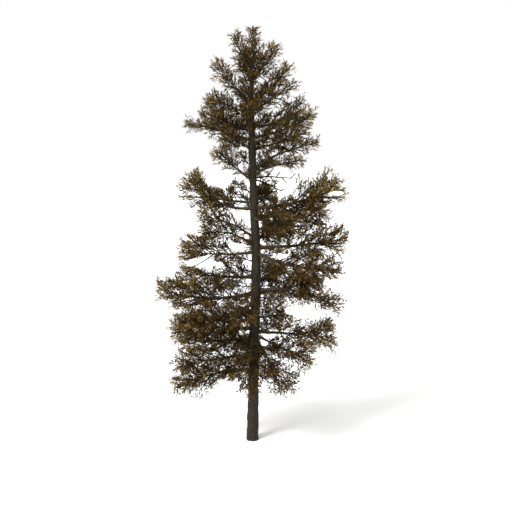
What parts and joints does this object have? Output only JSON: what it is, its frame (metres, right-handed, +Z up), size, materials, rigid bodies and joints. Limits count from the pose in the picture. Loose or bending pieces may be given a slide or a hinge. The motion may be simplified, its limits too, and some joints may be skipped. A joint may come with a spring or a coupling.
{
  "type": "tamarack tree",
  "caption": "Tall slender larch in autumn colour: one tapering trunk with a bare foot, bare-footed boughs and open masses of needle sprays, cut flat at the ground.",
  "frame": {"origin": "centre of the flat cut under the trunk, at ground level", "axes": "+Z up along the trunk, -Y towards the viewer of the picture, +X to the viewer's right"},
  "size_m": [7.4775, 5.5452, 15.9999],
  "materials": {
    "trunk_bark": "rough grey-brown scaly bark",
    "limb_bark": "rough dark bark",
    "needles": "soft brown-gold autumn needles"
  },
  "bodies": {
    "root": {"bough_left_11": "limb_bark", "bough_left_6": "limb_bark", "bough_left_8": "limb_bark", "bough_right_10": "limb_bark", "bough_right_3": "limb_bark", "bough_right_6": "limb_bark", "bough_right_7": "limb_bark", "bough_right_8": "limb_bark", "needles_back_1": "needles", "needles_back_2": "needles", "needles_back_3": "needles", "needles_back_4": "needles", "needles_back_5": "needles", "needles_back_6": "needles", "needles_back_7": "needles", "needles_back_8": "needles", "needles_back_9": "needles", "needles_front_1": "needles", "needles_front_2": "needles", "needles_front_3": "needles", "needles_front_4": "needles", "needles_front_5": "needles", "needles_left_1": "needles", "needles_left_10": "needles", "needles_left_11": "needles", "needles_left_12": "needles", "needles_left_13": "needles", "needles_left_14": "needles", "needles_left_15": "needles", "needles_left_16": "needles", "needles_left_17": "needles", "needles_left_18": "needles", "needles_left_2": "needles", "needles_left_3": "needles", "needles_left_4": "needles", "needles_left_5": "needles", "needles_left_6": "needles", "needles_left_7": "needles", "needles_left_8": "needles", "needles_left_9": "needles", "needles_right_1": "needles", "needles_right_10": "needles", "needles_right_11": "needles", "needles_right_12": "needles", "needles_right_13": "needles", "needles_right_14": "needles", "needles_right_15": "needles", "needles_right_16": "needles", "needles_right_17": "needles", "needles_right_18": "needles", "needles_right_2": "needles", "needles_right_3": "needles", "needles_right_4": "needles", "needles_right_5": "needles", "needles_right_6": "needles", "needles_right_7": "needles", "needles_right_8": "needles", "needles_right_9": "needles", "needles_top": "needles", "trunk": "trunk_bark"}
  },
  "joints": []
}
